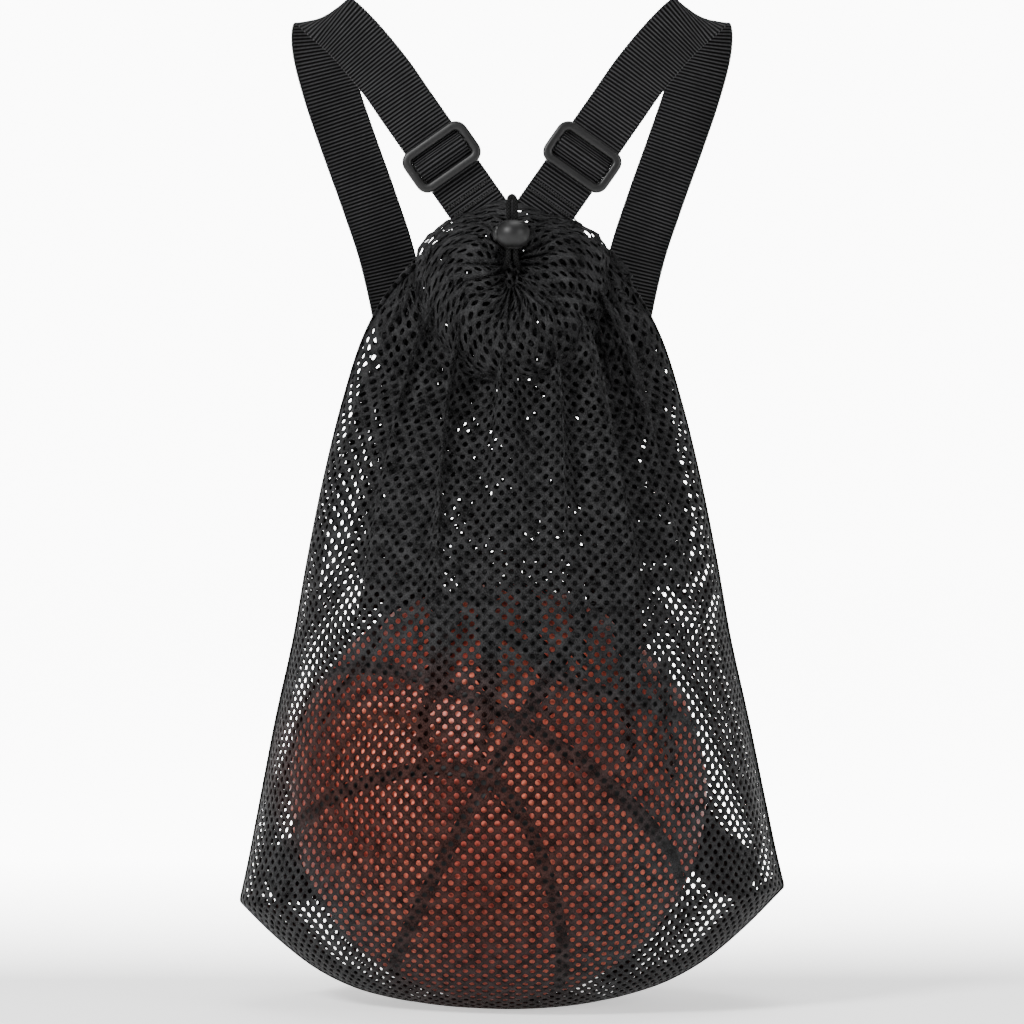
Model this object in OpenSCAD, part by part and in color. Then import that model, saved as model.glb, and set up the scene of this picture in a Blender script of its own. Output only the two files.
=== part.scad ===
// Drawstring mesh ball bag with two adjustable webbing shoulder straps, holding one ball.
// +Z up, front faces -Y, origin on the ground under the middle of the bag.

/* [Ball] */
// Diameter of the ball
ball_d = 240; // [235:1:241]
// Width of a rubber channel between two panels
channel_w = 7; // [5:0.5:9]
// Depth of a channel
channel_depth = 1.6; // [1:0.1:2]

/* [Mesh] */
// Thickness of the mesh walls
mesh_t = 1.2; // [1:0.1:1.4]
// Height of the middle of the mouth above the ground
mouth_z = 438; // [434:1:440]

/* [Straps] */
// Width of the webbing
strap_w = 33; // [28:1:33]
// Thickness of the webbing
strap_t = 1.5; // [1.2:0.1:1.6]
// Outside width of an adjuster
slider_w = 43; // [42:0.5:46]
// Outside length of an adjuster along the strap
slider_len = 27; // [26:0.5:30]
// Diameter of an adjuster's bars
bar_d = 4; // [3.5:0.1:4.2]

/* [Drawcord] */
// Diameter of the elastic drawcord
cord_d = 3; // [2.5:0.1:3.2]
// Diameter of the ball-shaped cord lock
lock_d = 20; // [19:0.5:22]
// Height of the cord lock
lock_h = 16; // [15:0.5:17]
// Travel of the lock's push button
button_travel = 2; // [1:0.5:2.5]

/* [Hidden] */
$fn = 64;
gap = 0.3;
ball_r = ball_d / 2;
ball_x = -8;
ball_z = ball_r + mesh_t + gap;
lens = 1.7;
segments = 20;

// The bag's section at each height: [height, half width, half depth, shift to the back, slope to the back]
sections = [[0, 46, 1, 0, 0], [0, 46, 46, 0, 0], [5, 68, 56, 0, 0], [12, 90, 66, 0, 0],
            [24, 112, 79, 0, 0], [42, 134, 97, 0, 0], [63, 156, 109, 0, 0], [85, 152, 124, 0, 0],
            [120, 145, 132, 0, 0], [165, 136, 124, 0, 0], [210, 126, 105, 0, 0],
            [255, 118, 91, 0, 0], [300, 109, 77, 0, 0], [345, 98, 61, 0, 0.05],
            [388, 85, 47, -2, 0.2], [420, 68, 36, -6, 0.6], [mouth_z, 36, 24, -8, 1]];
corner_row = 6;

// One point of a section, on the front for turn 0 to 180 and on the back for 180 to 360
function lens_point(s, turn, inset) =
    let (c = cos(turn), f = sin(turn), power = 2 / lens,
         back = -sign(f) * max(0.5, s[2] - inset) * pow(abs(f), power))
    [-sign(c) * (s[1] - inset) * pow(abs(c), power), s[3] + back,
     s[0] + s[4] * back + (s[0] < inset ? inset : 0)];

function catmull(a, b, c, d, t) =
    0.5 * (2 * b + (c - a) * t + (2 * a - 5 * b + 4 * c - d) * t * t
           + (3 * b - a - 3 * c + d) * t * t * t);

// A smooth curve through a list of points or of rows of numbers, with a number of steps in each span
function smooth(p, steps) =
    [for (i = [0:len(p) - 2], k = [0:steps - 1])
         catmull(p[max(i - 1, 0)], p[i], p[i + 1], p[min(i + 2, len(p) - 1)], k / steps),
     p[len(p) - 1]];

function unit(v) = v / norm(v);
function tangent(p, i) = unit(p[min(i + 1, len(p) - 1)] - p[max(i - 1, 0)]);

// Skins rings of equal length into one closed solid. A ring's two halves lie side by side,
// so each end is closed by a strip between them.
module skin(rings) {
    n = len(rings[0]);
    end = (len(rings) - 1) * n;
    points = [for (r = rings, q = r) q];
    sides = [for (i = [0:len(rings) - 2], j = [0:n - 1])
        let (a = i * n + j, b = i * n + (j + 1) % n)
        each [[a, b, b + n], [a, b + n, a + n]]];
    caps = [for (j = [0:n / 2 - 2])
        let (k = n - 1 - j)
        each [[j + 1, j, k], [j + 1, k, k - 1],
              [end + j, end + j + 1, end + k], [end + j + 1, end + k - 1, end + k]]];
    polyhedron(points, concat(sides, caps), convexity = 10);
}

// Flat band along rows of [x, y, z, wx, wy, wz]: a centre point and the direction across the band
module band(rows, w, t) {
    p = [for (r = rows) [r[0], r[1], r[2]]];
    skin([for (i = [0:len(rows) - 1])
        let (along = tangent(p, i),
             raw = [rows[i][3], rows[i][4], rows[i][5]],
             across = unit(raw - (raw * along) * along) * w / 2,
             up = cross(along, unit(across)) * t / 2)
        [p[i] - across - up, p[i] + across - up, p[i] + across + up, p[i] - across + up]]);
}

// Round tube through points, with a fixed reference direction that it never runs along
module tube(p, d, sides, reference) {
    skin([for (i = [0:len(p) - 1])
        let (along = tangent(p, i), u = unit(cross(along, reference)), v = cross(along, u))
        [for (k = [0:sides - 1])
            p[i] + (u * cos(360 * k / sides) + v * sin(360 * k / sides)) * d / 2]]);
}

module both_sides(side) {
    mirror([side > 0 ? 1 : 0, 0, 0]) children();
}

// ---- Mesh bag ----

panel_edge = 2;

// Half of the bag's shell, from the middle of its underside up to the mouth
module mesh_panel(from) {
    last = len(sections) - 1;
    skin([for (k = [0:segments])
        let (turn = from + panel_edge + (180 - 2 * panel_edge) * k / segments)
        [for (i = [0:last]) lens_point(sections[i], turn, 0),
         for (i = [last:-1:0]) lens_point(sections[i], turn, mesh_t)]]);
}

module front_mesh_panel() {
    color("#1c1c1e") mesh_panel(0);
}

module back_mesh_panel() {
    color("#1c1c1e") mesh_panel(180);
}

// Seam tape that joins the two panels along one side, as far as the bottom corner
module side_seam(side) {
    rows = [for (i = [corner_row:len(sections) - 1])
        [-sections[i][1] - mesh_t / 2 - 3 * gap, sections[i][3], sections[i][0], 0, 1, sections[i][4]]];
    color("#161617") both_sides(side) band(rows, 7, mesh_t);
}

// Binding under the bag, from each bottom corner to where the bag meets the ground
module bottom_binding() {
    rows = [for (i = [2:corner_row]) [-sections[i][1] - 0.8, 0,
                                      sections[i][0] - (i == corner_row ? 2 : 0.5), 0, 1, 0]];
    color("#161617") for (side = [-1, 1]) both_sides(side) band(rows, 7, mesh_t);
}

// ---- Mouth and drawcord ----

casing_r = 27;
casing_tube = 5.5;
mouth_tilt = 45;
mouth_lift = casing_tube + gap + 0.3;
strand_x = 1.9;
exit_x = 3.5;
lock_y = -42;
lock_z = 443;
lock_bore_d = cord_d + 0.5;
button_d = 9;
button_end = 4.6;
bore_end = 8;

// The tilted plane of the mouth, with its origin in the middle of the casing
module at_mouth() {
    translate([0, -8, mouth_z]) rotate([mouth_tilt, 0, 0]) translate([0, 0, mouth_lift]) children();
}

// Hem round the mouth, hollow for the cord, with one gap in front where the cord comes out
module drawstring_casing() {
    slot = [2 * exit_x + cord_d + 1.4, casing_tube + 8, casing_tube + 2];
    color("#1c1c1e") at_mouth() difference() {
        rotate_extrude() translate([casing_r, 0]) difference() {
            circle(r = casing_tube);
            circle(r = cord_d / 2 + gap);
        }
        translate([0, -casing_r - 4, casing_tube / 2 - 1]) cube(slot, center = true);
    }
}

// The part of the cord that lies inside the casing, round the mouth and open at the front
module hem_drawcord() {
    color("#101011") at_mouth() difference() {
        rotate_extrude() translate([casing_r, 0]) circle(d = cord_d);
        translate([0, -casing_r, 0]) cube([2 * exit_x, 3 * cord_d, 2 * cord_d], center = true);
    }
}

// Half of the cord's loop, from the casing up through the lock and over the top
loop_half = [[-4.4, -31, 423.4], [-3.6, -34, 424.6], [-3, -37.6, 426.6], [-2.3, -40.6, 429],
             [-strand_x, lock_y, 432.4], [-strand_x, lock_y, 438], [-strand_x, lock_y, 446],
             [-strand_x, lock_y, 454], [-strand_x, lock_y, 460], [-1.4, lock_y, 463.4],
             [0, lock_y, 464.6]];

module drawcord_loop() {
    other = [for (i = [len(loop_half) - 2:-1:0])
        [-loop_half[i][0], loop_half[i][1], loop_half[i][2]]];
    color("#101011") tube(smooth(concat(loop_half, other), 3), cord_d, 8, [0, 1, 0.1]);
}

module at_lock() {
    translate([0, lock_y, lock_z]) children();
}

// Ball-shaped body with two cord bores down through it and a bore for the button from the left
module cord_lock_barrel() {
    color("#202022") at_lock() difference() {
        intersection() {
            sphere(d = lock_d);
            cube([lock_d, lock_d, lock_h], center = true);
        }
        for (side = [-1, 1]) translate([side * strand_x, 0, 0])
            cylinder(d = lock_bore_d, h = lock_h + 2, center = true);
        cube([2 * strand_x, lock_bore_d, lock_h + 2], center = true);
        translate([-lock_d / 2 - 1, 0, 0]) rotate([0, 90, 0])
            cylinder(d = button_d, h = bore_end + lock_d / 2 + 1);
    }
}

// Push button whose slot has to line up with the barrel's bores before the cord runs free
module cord_lock_button() {
    slot = 2 * strand_x + lock_bore_d + button_travel;
    face = lock_d / 2 + button_travel;
    color("#2a2a2c") at_lock() difference() {
        translate([-face, 0, 0]) rotate([0, 90, 0])
            cylinder(d = button_d - 0.3, h = face + button_end);
        translate([-button_travel / 2, 0, 0]) cube([slot, lock_bore_d, button_d + 2], center = true);
    }
}

// Return spring in the blind end of the barrel's bore, drawn as its outer shape
module cord_lock_spring() {
    spring_gap = 0.1;
    color("silver") at_lock() translate([button_end + spring_gap, 0, 0]) rotate([0, 90, 0])
        difference() {
            cylinder(d = button_d - 1.4, h = bore_end - button_end - 2 * spring_gap);
            translate([0, 0, -1]) cylinder(d = button_d - 3.4, h = lock_d / 2);
        }
}

// ---- Shoulder straps ----

// Rows of [x, y, z, wx, wy, wz] down the left strap, from the neck over the shoulder to the corner
neck = [-20, -12, 458];
neck_rise = unit([-54, 14, 77]);
neck_across = [82, 0, 57];
strap_rows = [
    concat(neck, neck_across), concat(neck + neck_rise * 24, neck_across),
    concat(neck + neck_rise * 48, neck_across), concat(neck + neck_rise * 72, neck_across),
    concat(neck + neck_rise * 94, neck_across),
    [-90, 9, 554, 83, -8, 55], [-103, 16, 566, 84, -16, 46], [-110, 28, 566, 88, -12, 40],
    [-111, 39, 550, 92, -6, 36], [-105, 47, 525, 94, 0, 33], [-95, 53, 495, 94, 0, 33],
    [-83, 60, 461, 94, 0, 33], [-72, 69, 426, 95, 0, 30], [-63, 81, 380, 97, 0, 20],
    [-58, 92, 325, 99, 0, 8], [-58, 104, 265, 99, 0, 0], [-62, 114, 210, 97, 20, -4],
    [-72, 117, 165, 90, 45, -30], [-88, 110, 122, 70, 50, -66], [-107, 93, 92, 44, 30, -86],
    [-125, 70, 74, 26, 12, -90], [-140, 46, 66, 20, 6, -92]];
strap_line = smooth(strap_rows, 3);

module shoulder_strap(side) {
    color("#18181a") both_sides(side) band(strap_line, strap_w, strap_t);
}

// Moves its children to a place along the straight front of the left strap:
// X runs across the webbing, Y up along it and Z out of its front face
module on_strap(along) {
    x = unit(neck_across - (neck_across * neck_rise) * neck_rise);
    z = cross(x, neck_rise);
    p = neck + neck_rise * along;
    multmatrix([[x[0], neck_rise[0], z[0], p[0]],
                [x[1], neck_rise[1], z[1], p[1]],
                [x[2], neck_rise[2], z[2], p[2]],
                [0, 0, 0, 1]]) children();
}

slider_at = 35;
fold_lift = strap_t / 2 + gap;
bar_z = fold_lift + strap_t + 0.2 + bar_d / 2;
slot_w = strap_w + 1;
rail = (slider_w - slot_w) / 2;

// Three-bar plastic adjuster: two outer bars over the webbing and one under its fold
module strap_adjuster(side) {
    corner = 7;
    color("#232325") both_sides(side) on_strap(slider_at) {
        translate([0, 0, bar_z]) {
            linear_extrude(bar_d, center = true) difference() {
                rounded(slider_w, slider_len, corner);
                rounded(slot_w, slider_len - 2 * bar_d, corner - rail);
            }
            rotate([0, 90, 0]) cylinder(d = bar_d - 0.4, h = slot_w + rail, center = true);
        }
    }
}

module rounded(w, h, r) {
    union() {
        square([w - 2 * r, h], center = true);
        square([w, h - 2 * r], center = true);
        for (x = [-1, 1], y = [-1, 1]) translate([x * (w / 2 - r), y * (h / 2 - r)]) circle(r = r);
    }
}

// Second layer of webbing that passes under the outer bars and over the middle one
module adjuster_webbing(side) {
    low = fold_lift + strap_t / 2;
    high = bar_z + bar_d / 2 + strap_t / 2 + 0.1;
    half = slider_len / 2;
    outline = [[half + 1.5, low], [half - 1, low], [half - bar_d, low], [7.8, low + 0.6],
               [4.6, high - 2.4], [2.4, high - 0.3], [0, high]];
    profile = concat(outline, [for (i = [len(outline) - 2:-1:0]) [-outline[i][0], outline[i][1]]]);
    rows = [for (q = smooth(profile, 2)) [0, q[0], q[1], 1, 0, 0]];
    color("#1b1b1d") both_sides(side) on_strap(slider_at) band(rows, strap_w - 0.6, strap_t);
}

// Bar tacks: short raised rows of thread across the webbing
module tacks(rows) {
    for (y = rows) translate([0, y, strap_t / 2 + 0.1])
        cube([strap_w - 5, 1.2, 0.8], center = true);
}

module strap_neck_stitching(side) {
    color("#0e0e0f") both_sides(side) on_strap(0) tacks([3, 8]);
}

module strap_corner_stitching(side) {
    last = strap_line[len(strap_line) - 2];
    before = strap_line[len(strap_line) - 4];
    p = [last[0], last[1], last[2]];
    y = unit(p - [before[0], before[1], before[2]]);
    raw = [last[3], last[4], last[5]];
    x = unit(raw - (raw * y) * y);
    z = cross(x, y);
    color("#0e0e0f") both_sides(side)
        multmatrix([[x[0], y[0], z[0], p[0]], [x[1], y[1], z[1], p[1]],
                    [x[2], y[2], z[2], p[2]], [0, 0, 0, 1]]) tacks([-2, 2]);
}

// ---- Ball ----

// Angle from the ball's pole to the channel that rings it
pole_ring = 57;
cover_wall = 4;
channel_sink = 0.7;
channel_fit = 0.05;
valve_d = 7;

// Turn of the ball: its X ends up where the two whole circles cross in front, its Z at a ring's pole
ball_turn = [-32, -23.4, -83.4];

module at_ball() {
    translate([ball_x, 0, ball_z]) rotate(ball_turn) children();
}

// A sphere whose own poles lie well inside a panel, away from every channel
module turned_sphere(r) {
    rotate([29, 17, 0]) sphere(r = r, $fn = 96);
}

// Flat ring of a given width at a height along the ball's pole, from an inner radius outwards
module channel_ring(h, width, inner) {
    translate([0, 0, h]) difference() {
        cylinder(r = ball_r + 3, h = width, center = true);
        cylinder(r = inner, h = width + 1, center = true);
    }
}

// Two whole circles at right angles, and a smaller one round each pole
module channel_cutters(width, inner) {
    h = ball_r * cos(pole_ring);
    for (turn = [0, 90]) rotate([turn, 0, 0]) channel_ring(0, width, inner);
    for (side = [0, 180]) rotate([side, 0, 0])
        channel_ring(h, width * sin(pole_ring), sqrt(inner * inner - h * h));
}

// Moves its children to the valve's place, with X out through the middle of a panel
module at_valve() {
    rotate([0, -16, 30]) rotate([0, 90, 0]) children();
}

module ball_cover() {
    color("#8a3b25") at_ball() difference() {
        turned_sphere(ball_r);
        turned_sphere(ball_r - cover_wall);
        channel_cutters(channel_w, ball_r - channel_depth);
        at_valve() cylinder(d = valve_d + 0.2, h = ball_r + 1);
    }
}

module ball_channels() {
    color("#17171a") at_ball() intersection() {
        turned_sphere(ball_r - channel_sink);
        channel_cutters(channel_w - 2 * channel_fit, ball_r - channel_depth + channel_fit);
    }
}

module ball_bladder() {
    wall = 1.2;
    room = cover_wall + 0.2;
    color("#303033") at_ball() difference() {
        turned_sphere(ball_r - room);
        turned_sphere(ball_r - room - wall);
    }
}

// Rubber valve plug, let into the cover in the middle of a panel
module ball_valve() {
    length = cover_wall - channel_sink - gap;
    color("#202022") at_ball() at_valve()
        translate([0, 0, ball_r - channel_sink - length]) cylinder(d = valve_d, h = length);
}

front_mesh_panel();
back_mesh_panel();
side_seam(-1);  // side_seam_left
side_seam(1);  // side_seam_right
bottom_binding();
drawstring_casing();
hem_drawcord();
drawcord_loop();
cord_lock_barrel();
cord_lock_button();
cord_lock_spring();
shoulder_strap(-1);  // shoulder_strap_left
shoulder_strap(1);  // shoulder_strap_right
strap_adjuster(-1);  // strap_adjuster_left
strap_adjuster(1);  // strap_adjuster_right
adjuster_webbing(-1);  // adjuster_webbing_left
adjuster_webbing(1);  // adjuster_webbing_right
strap_neck_stitching(-1);  // strap_neck_stitching_left
strap_neck_stitching(1);  // strap_neck_stitching_right
strap_corner_stitching(-1);  // strap_corner_stitching_left
strap_corner_stitching(1);  // strap_corner_stitching_right
ball_cover();
ball_channels();
ball_bladder();
ball_valve();
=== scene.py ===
"""Looks of a mesh ball bag: perforated cloth, ribbed webbing, moulded fittings, cord and ball."""
import math

import bpy
import numpy as np
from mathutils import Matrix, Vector


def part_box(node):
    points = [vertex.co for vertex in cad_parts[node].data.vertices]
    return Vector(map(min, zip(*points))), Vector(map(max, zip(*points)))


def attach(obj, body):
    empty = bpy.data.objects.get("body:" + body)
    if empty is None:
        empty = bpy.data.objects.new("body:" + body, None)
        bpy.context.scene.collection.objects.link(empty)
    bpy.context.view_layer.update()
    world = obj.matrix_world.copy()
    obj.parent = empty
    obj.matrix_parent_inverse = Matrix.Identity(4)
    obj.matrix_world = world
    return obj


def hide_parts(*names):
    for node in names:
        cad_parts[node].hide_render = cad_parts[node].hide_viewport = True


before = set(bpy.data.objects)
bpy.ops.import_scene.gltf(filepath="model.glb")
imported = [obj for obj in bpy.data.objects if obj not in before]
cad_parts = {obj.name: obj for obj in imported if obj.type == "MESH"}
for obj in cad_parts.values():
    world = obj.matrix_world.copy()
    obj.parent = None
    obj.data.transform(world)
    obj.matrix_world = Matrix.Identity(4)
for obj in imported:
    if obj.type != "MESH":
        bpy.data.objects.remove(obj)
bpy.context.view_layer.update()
MM = 0.001
rng = np.random.default_rng(7)



def centre_of(node):
    """Middle of a CAD node's box, in millimetres."""
    return np.array([(low + high) / 2 / MM for low, high in zip(*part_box(node))])


# Millimetres between neighbouring holes of the mesh, between ribs of the webbing, and between
# points along the seams, the cord and the cloth
HOLE_PITCH = 5.4
RIB = 2.1
STEP = 0.8
BALL_CENTRE = centre_of("ball_cover")
BALL_R = (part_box("ball_cover")[1][2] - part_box("ball_cover")[0][2]) / 2 / MM


# ---------------------------------------------------------------- camera

def make_camera():
    """Straight-on view from the front with a long lens, a little above the horizon."""
    distance, height, elevation, wide = 4.2, 0.283, math.radians(2.5), 0.589
    data = bpy.data.cameras.new("camera")
    camera = bpy.data.objects.new("camera", data)
    bpy.context.scene.collection.objects.link(camera)
    data.sensor_width = 36
    data.lens = 36 * distance / wide
    data.clip_end = 50
    camera.location = (0, -distance * math.cos(elevation), height + distance * math.sin(elevation))
    camera.rotation_euler = (math.pi / 2 - elevation, 0, 0)
    bpy.context.scene.camera = camera


make_camera()


# ---------------------------------------------------------------- helpers

def catmull(rows, steps):
    """A smooth curve through rows of numbers, with a number of steps in each span."""
    rows = np.asarray(rows, float)
    padded = np.vstack([rows[:1], rows, rows[-1:]])
    out = []
    for a, b, c, d in zip(padded[:-3], padded[1:-2], padded[2:-1], padded[3:]):
        t = np.linspace(0, 1, steps, endpoint=False)[:, None]
        out.append(0.5 * (2 * b + (c - a) * t + (2 * a - 5 * b + 4 * c - d) * t ** 2
                          + (3 * b - a - 3 * c + d) * t ** 3))
    out.append(rows[-1:])
    return np.vstack(out)


def lengths_along(points):
    """Distance from the first point to each point, along the points."""
    return np.concatenate([[0], np.cumsum(np.linalg.norm(np.diff(points, axis=0), axis=1))])


def resample(rows, step):
    """Rows at equal steps along the curve that their first three columns draw."""
    along = lengths_along(rows[:, :3])
    at = np.linspace(0, along[-1], max(2, int(round(along[-1] / step)) + 1))
    return np.column_stack([np.interp(at, along, column) for column in rows.T]), at


def unit(v):
    return v / np.maximum(np.linalg.norm(v, axis=-1, keepdims=True), 1e-12)


def tangents(points):
    return unit(np.gradient(points, axis=0))


def make_mesh(name, verts, faces, material, uv=None):
    """A new object from points in millimetres. uv holds one pair of numbers for each point."""
    mesh = bpy.data.meshes.new(name)
    mesh.from_pydata((np.asarray(verts) * MM).tolist(), [], [list(map(int, f)) for f in faces])
    if uv is not None:
        layer = mesh.uv_layers.new(name="weave")
        corner = np.empty(len(mesh.loops), int)
        mesh.loops.foreach_get("vertex_index", corner)
        layer.data.foreach_set("uv", np.asarray(uv, float)[corner].ravel())
    mesh.polygons.foreach_set("use_smooth", [True] * len(mesh.polygons))
    mesh.update()
    obj = bpy.data.objects.new(name, mesh)
    bpy.context.scene.collection.objects.link(obj)
    mesh.materials.append(material)
    return obj


def grid_faces(rows, cols, closed_cols=False, closed_rows=False):
    """Quads of a grid of rows by cols points, which may close on itself either way."""
    i, j = np.meshgrid(np.arange(rows if closed_rows else rows - 1),
                       np.arange(cols if closed_cols else cols - 1), indexing="ij")
    i, j = i.ravel(), j.ravel()
    i2, j2 = (i + 1) % rows, (j + 1) % cols
    return np.column_stack([i * cols + j, i * cols + j2, i2 * cols + j2, i2 * cols + j])


def tube_faces(rows, sides):
    """Quads of a tube of rows of points, with a face over each end."""
    return grid_faces(rows, sides, closed_cols=True).tolist() + [
        list(range(sides))[::-1], list(range((rows - 1) * sides, rows * sides))]


def mirrored(points):
    """The same points on the bag's other side."""
    return np.asarray(points, float) * [-1, 1, 1]


# ---------------------------------------------------------------- materials

class Shader:
    """Short ways to build a node tree on one material."""

    def __init__(self, name, **values):
        self.material = bpy.data.materials.new(name)
        self.material.use_nodes = True
        self.tree = self.material.node_tree
        self.bsdf = self.tree.nodes["Principled BSDF"]
        for key, value in values.items():
            socket = self.bsdf.inputs[key.replace("_", " ")]
            socket.default_value = (*value, 1) if isinstance(value, tuple) else value

    def node(self, kind, links=None, **values):
        node = self.tree.nodes.new(kind)
        for key, value in values.items():
            setattr(node, key, value)
        for key, value in (links or {}).items():
            if isinstance(value, bpy.types.NodeSocket):
                self.tree.links.new(value, node.inputs[key])
            else:
                node.inputs[key].default_value = value
        return node

    def place(self):
        """The piece's own coordinates, in metres."""
        return self.node("ShaderNodeTexCoord").outputs["Object"]

    def weave(self):
        """The cloth's own coordinates, in millimetres."""
        return self.node("ShaderNodeUVMap", uv_map="weave").outputs["UV"]

    def noise(self, vector, scale, detail=3, rough=0.6):
        return self.node("ShaderNodeTexNoise", {"Vector": vector, "Scale": scale, "Detail": detail,
                                                "Roughness": rough}).outputs["Fac"]

    def scaled(self, vector, x, y, z=1):
        return self.node("ShaderNodeMapping", {"Vector": vector, "Scale": (x, y, z)}).outputs[0]

    def math(self, what, a, b=0.0):
        return self.node("ShaderNodeMath", {0: a, 1: b}, operation=what).outputs[0]

    def ramp(self, factor, *stops):
        """stops are (position, number or colour)."""
        node = self.node("ShaderNodeValToRGB", {"Fac": factor})
        elements = node.color_ramp.elements
        while len(elements) < len(stops):
            elements.new(0.5)
        for element, (at, value) in zip(elements, stops):
            element.position = at
            element.color = (*value, 1) if isinstance(value, tuple) else (value, value, value, 1)
        return node.outputs["Color"]

    def mix(self, factor, a, b, how="MIX"):
        node = self.node("ShaderNodeMix", data_type="RGBA", blend_type=how)
        for socket, value in (("Factor", factor), ("A", a), ("B", b)):
            target = next(s for s in node.inputs if s.name == socket
                          and s.type == ("VALUE" if socket == "Factor" else "RGBA"))
            if isinstance(value, bpy.types.NodeSocket):
                self.tree.links.new(value, target)
            else:
                target.default_value = (*value, 1) if isinstance(value, tuple) else value
        return next(s for s in node.outputs if s.type == "RGBA")

    def set(self, name, socket):
        self.tree.links.new(socket, self.bsdf.inputs[name])

    def bump(self, height, strength, distance, over=None):
        links = {"Height": height, "Strength": strength, "Distance": distance}
        if over is not None:
            links["Normal"] = over
        return self.node("ShaderNodeBump", links).outputs["Normal"]


def knit_noise(s):
    """Fine yarn texture in the cloth's own millimetres, and a slower drift of tone."""
    fine = s.noise(s.scaled(s.weave(), 1.9, 0.9), 1.0, 4, 0.7)
    drift = s.noise(s.scaled(s.weave(), 0.12, 0.12), 1.0, 2)
    return fine, s.math("MULTIPLY", s.math("ADD", s.math("MULTIPLY", fine, 2.0), drift), 0.333)


def mesh_material():
    """Knitted polyester. Where it lies on the ball, its colour turns dark red: painted light from
    the ball, shining through and bounced off the thin yarn.
    """
    s = Shader("mesh_knit", Roughness=0.6, Specular_IOR_Level=0.02)
    fine, tone = knit_noise(s)
    away = s.node("ShaderNodeVectorMath", {0: s.place(), 1: tuple(BALL_CENTRE * MM)},
                  operation="DISTANCE").outputs["Value"]
    # Painted light: within a few millimetres of the ball the knit gets a dark red colour, standing
    # in for the ball's red light through the yarn.
    near = s.ramp(s.math("MULTIPLY", away, 4.0), (0.492, 1.0), (0.54, 0.0))
    knit_colour = s.ramp(tone, (0.40, (0.0015, 0.0015, 0.0015)), (0.62, (0.036, 0.036, 0.037)))
    painted_ball_light = s.ramp(tone, (0.40, (0.0032, 0.0014, 0.0012)), (0.62, (0.047, 0.021, 0.018)))
    s.set("Base Color", s.mix(near, knit_colour, painted_ball_light))
    s.set("Roughness", s.ramp(fine, (0.3, 0.65), (0.7, 0.42)))
    s.set("Normal", s.bump(fine, 0.6, 0.0007))
    return s.material


def binding_material():
    """The same knit in several layers. Its holes are painted near black: painted shade in the pits
    between the layers, over the knit's own black.
    """
    s = Shader("hem_knit", Roughness=0.6, Specular_IOR_Level=0.02)
    fine, tone = knit_noise(s)
    parts = s.node("ShaderNodeSeparateXYZ", {"Vector": s.weave()}).outputs
    step = math.pi * math.sqrt(2) / HOLE_PITCH
    waves = [s.math("COSINE", s.math("MULTIPLY", parts[k], step)) for k in ("X", "Y")]
    hole = s.math("ABSOLUTE", s.math("ADD", *waves))
    open_part = s.ramp(s.math("MULTIPLY", hole, 0.5), (0.55, 1.0), (0.7, 0.0))
    yarn = s.ramp(tone, (0.40, (0.003, 0.003, 0.003)), (0.62, (0.024, 0.024, 0.025)))
    # Painted shade: the holes are near black, the shade down in the layered knit's pits.
    s.set("Base Color", s.mix(open_part, (0.001, 0.001, 0.001), yarn))
    height = s.math("ADD", s.math("MULTIPLY", fine, 0.5), open_part)
    s.set("Normal", s.bump(height, 0.8, 0.0007))
    return s.material


def webbing_material():
    """Ribbed webbing. The ribs are in the mesh; here the gaps between them are painted near black
    as painted shade, and the ribs get their yarns.
    """
    s = Shader("webbing_rib", Roughness=0.5, Specular_IOR_Level=0.04)
    parts = s.node("ShaderNodeSeparateXYZ", {"Vector": s.weave()}).outputs
    rib = s.math("ABSOLUTE", s.math("SINE", s.math("MULTIPLY", parts["Y"], math.pi / RIB)))
    yarn = s.node("ShaderNodeTexWave", {"Vector": s.scaled(s.weave(), 1, 0.5), "Scale": 0.42,
                                        "Distortion": 1.0, "Detail": 2, "Detail Scale": 2.0},
                  wave_type="BANDS", bands_direction="X").outputs["Fac"]
    fuzz = s.noise(s.scaled(s.weave(), 2.2, 2.2), 1.0, 3)
    wear = s.noise(s.scaled(s.weave(), 0.05, 0.03), 1.0, 4)
    crest = s.mix(yarn, (0.012, 0.012, 0.0125), (0.055, 0.055, 0.057))
    crest = s.mix(s.ramp(wear, (0.3, 0.0), (0.7, 0.5)), crest, (0.012, 0.012, 0.0125))
    # Painted shade: the gaps between the ribs are near black.
    on_rib = s.ramp(rib, (0.62, 0.0), (0.93, 1.0))
    s.set("Base Color", s.mix(on_rib, (0.0004, 0.0004, 0.0004), crest))
    s.set("Roughness", s.ramp(fuzz, (0.3, 0.42), (0.7, 0.62)))
    s.set("Normal", s.bump(s.math("ADD", yarn, fuzz), 0.4, 0.0004))
    return s.material


def cord_material():
    """Braided cord: two sets of crossing strands."""
    s = Shader("cord_braid", Specular_IOR_Level=0.04)
    strands = [s.node("ShaderNodeTexWave", {"Vector": s.scaled(s.weave(), 1, side), "Scale": 0.32,
                                            "Distortion": 0.3},
                      bands_direction="DIAGONAL").outputs["Fac"] for side in (1, -1)]
    braid = s.math("MAXIMUM", *strands)
    s.set("Base Color", s.ramp(braid, (0.35, (0.001, 0.001, 0.001)), (0.9, (0.010, 0.010, 0.010))))
    s.set("Roughness", s.ramp(braid, (0.2, 0.9), (0.9, 0.7)))
    s.set("Normal", s.bump(braid, 0.6, 0.0005))
    return s.material


def plastic_material(name, shine, colour):
    """Moulded plastic with a fine even grain, smoother where it is handled."""
    s = Shader(name, Specular_IOR_Level=0.35)
    grain = s.noise(s.place(), 2600, 2)
    rub = s.noise(s.place(), 60, 3)
    dark = tuple(c * 0.75 for c in colour)
    s.set("Base Color", s.ramp(rub, (0.35, dark), (0.7, colour)))
    s.set("Roughness", s.ramp(rub, (0.3, shine + 0.08), (0.7, shine - 0.05)))
    s.set("Normal", s.bump(grain, 0.12, 0.0002))
    return s.material


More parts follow.
